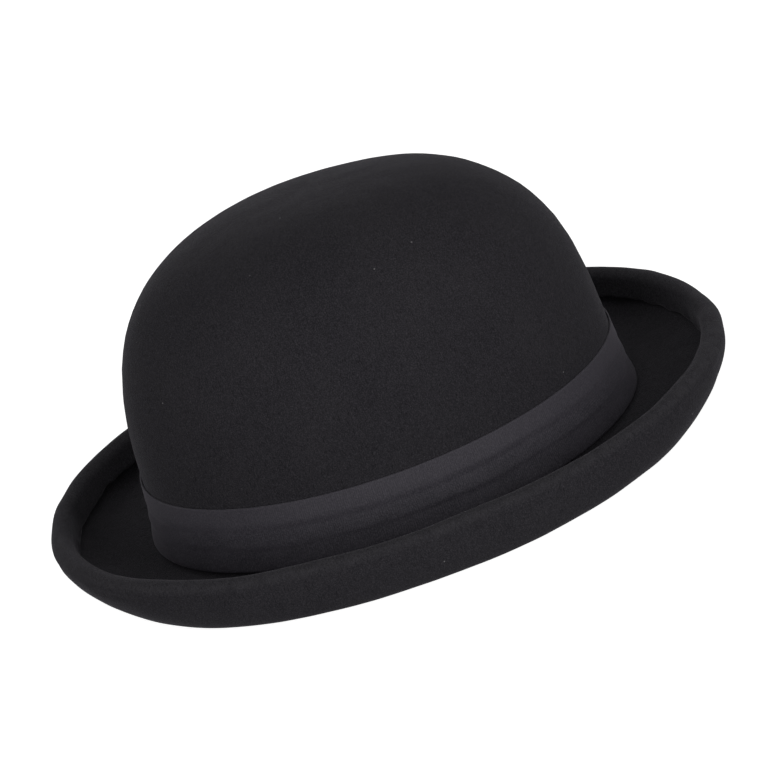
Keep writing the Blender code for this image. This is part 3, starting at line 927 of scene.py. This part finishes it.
def dress_hat():
    """Makes every piece and gives each its material and body; the wire and its ferrule get metal."""
    ribbon = ribbon_material()
    satin = satin_material()
    tape = label_material()
    black_thread = thread_material("black_thread", (0.045, 0.043, 0.048), (0.018, 0.017, 0.020))
    pale_thread = thread_material("pale_thread", (0.55, 0.54, 0.50), (0.36, 0.35, 0.32))
    flap = "care_label_flap"
    hood = dress(felt_piece(), felt_material(), "felt", "felt_body")
    band = dress(band_piece(), ribbon, "ribbon", "hat_band")
    rear = dress(bow_loop_piece("ribbon_rear_loop", 1), ribbon, "ribbon", "bow_rear_loop")
    front = dress(bow_loop_piece("ribbon_front_loop", -1), ribbon, "ribbon", "bow_front_loop")
    knot = dress(knot_piece(), ribbon, "ribbon", "bow_knot")
    dress(sweatband_piece(), leather_material(), "sweatband_leather", "sweatband")
    dress(reed_piece(), plastic_material(), "reed", "sweatband_reed")
    dress(sweatband_stitches(), black_thread, "ribbon")
    dress(rear_bow_piece(), ribbon, "ribbon", "sweatband_bow")
    dress(rear_bow_tie(), ribbon, "ribbon")
    wall = dress(lining_wall_piece(), satin, "lining_satin", "lining_wall")
    tip = dress(lining_tip_piece(), satin, "lining_satin", "lining_tip")
    dress(piping_piece(), satin, "lining_satin", "lining_piping")
    size_tape = label_piece("size_tape", "size_label", 0.0)
    dress(size_tape, tape, "label_tape", "size_label")
    care_tape = label_piece("care_tape", "care_label", 0.0004)
    dress(care_tape, tape, "label_tape", "care_label", body=flap)
    dress(label_stitches("size_label_stitches", "size_label", 0.5), pale_thread, "label_tape")
    care_stitches = label_stitches("care_label_stitches", "care_label", 0.93)
    dress(care_stitches, pale_thread, "label_tape", body=flap)
    steel = metal_material("wire_steel", (0.56, 0.56, 0.57), (0.34, 0.33, 0.33), 0.0008)
    brass = metal_material("ferrule_brass", (0.66, 0.49, 0.22), (0.40, 0.29, 0.14), 0.0006)
    for node, metal in (("brim_wire", steel), ("brim_wire_ferrule", brass)):
        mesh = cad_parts[node].data
        mesh.materials.clear()
        mesh.materials.append(metal)


# ---------------------------------------------------------------- floor, light and camera


FLOOR_SIZE = 9
FLOOR_HEIGHT = -0.0003
FLOOR_WHITE = 0.90  # what the floor gives off towards the camera, so that it looks white
FLOOR_GLOW = 0.02  # what it gives off towards the hat
ROOM_STRENGTH = 0.40


def floor():
    """A white floor that can be seen through from below and casts no shadow."""
    bpy.ops.mesh.primitive_plane_add(size=FLOOR_SIZE, location=(0, 0, FLOOR_HEIGHT))
    made = bpy.context.object
    made.name = "floor"
    paper = bpy.data.materials.new("white_paper")
    paper.use_nodes = True
    tree = paper.node_tree
    shader = tree.nodes["Principled BSDF"]
    shader.inputs["Base Color"].default_value = (0.6, 0.6, 0.6, 1)
    shader.inputs["Emission Color"].default_value = (1, 1, 1, 1)
    ray = tree.nodes.new("ShaderNodeLightPath")
    glow = tree.nodes.new("ShaderNodeMapRange")
    glow.inputs["To Min"].default_value = FLOOR_GLOW
    glow.inputs["To Max"].default_value = FLOOR_WHITE
    tree.links.new(ray.outputs["Is Camera Ray"], glow.inputs["Value"])
    tree.links.new(glow.outputs[0], shader.inputs["Emission Strength"])
    shader.inputs["Roughness"].default_value = 0.9
    shader.inputs["Specular IOR Level"].default_value = 0.1
    side = tree.nodes.new("ShaderNodeNewGeometry")
    clear = tree.nodes.new("ShaderNodeBsdfTransparent")
    either = tree.nodes.new("ShaderNodeMixShader")
    tree.links.new(side.outputs["Backfacing"], either.inputs[0])
    tree.links.new(shader.outputs[0], either.inputs[1])
    tree.links.new(clear.outputs[0], either.inputs[2])
    tree.links.new(either.outputs[0], tree.nodes["Material Output"].inputs["Surface"])
    made.data.materials.append(paper)
    made.visible_shadow = False


def soft_light(name, place, target, size, power):
    """A round area light aimed at a target, with its power in watts."""
    data = bpy.data.lights.new(name, "AREA")
    data.shape = "DISK"
    data.size = size
    data.energy = power
    made = bpy.data.objects.new(name, data)
    bpy.context.scene.collection.objects.link(made)
    made.location = place
    aim = Vector(target) - Vector(place)
    made.rotation_euler = aim.to_track_quat("-Z", "Y").to_euler()


def studio():
    """An even white room, a soft light to each side of the camera, a low one and one below."""
    world = bpy.data.worlds.new("white_room")
    world.use_nodes = True
    sky = world.node_tree.nodes["Background"]
    sky.inputs[0].default_value = (1.0, 1.0, 1.0, 1)
    sky.inputs[1].default_value = ROOM_STRENGTH
    bpy.context.scene.world = world
    soft_light("key_right", (-1.15, -0.85, 0.50), (0, 0, 0.06), 0.7, 4.7)
    soft_light("key_left", (-1.30, 0.60, 0.40), (0, 0, 0.06), 0.7, 5.1)
    soft_light("low_front", (-1.45, -0.10, 0.15), (0, 0, 0.06), 0.4, 2.7)
    soft_light("under", (0.0, 0.0, -1.0), (0, 0, 0.05), 0.6, 1.8)
    bpy.context.scene.view_settings.view_transform = "Standard"


CAMERA_AZIMUTH = radians(-95.57)
CAMERA_ELEVATION = radians(19.05)
CAMERA_ROLL = radians(19.17)
CAMERA_DISTANCE = 1.034
CAMERA_TARGET = Vector((0.0, 0.0, 0.0628))
TARGET_ASIDE = (-0.0135, 0.0232)  # where the target lies from the picture's middle, over the distance
CAMERA_LENS = 118.3  # millimetres, on a sensor 36 mm wide


def camera():
    """The camera, aimed a little past its target so that the hat stands off the middle."""
    data = bpy.data.cameras.new("camera")
    data.lens = CAMERA_LENS
    data.sensor_width = 36
    made = bpy.data.objects.new("camera", data)
    bpy.context.scene.collection.objects.link(made)
    azimuth, elevation = CAMERA_AZIMUTH, CAMERA_ELEVATION
    level = cos(elevation)
    back = Vector((sin(azimuth) * level, -cos(azimuth) * level, sin(elevation)))
    right = Vector((cos(azimuth), sin(azimuth), 0))
    upright = Matrix((right, back.cross(right), back)).transposed()
    rolled = upright @ Matrix.Rotation(-CAMERA_ROLL, 3, "Z")
    aside = Vector((*TARGET_ASIDE, -1.0))
    turned = aside.rotation_difference(Vector((0, 0, -1))).to_matrix()
    place = CAMERA_TARGET + back * CAMERA_DISTANCE
    made.matrix_world = Matrix.Translation(place) @ (rolled @ turned).to_4x4()
    bpy.context.scene.camera = made


dress_hat()
floor()
studio()
camera()
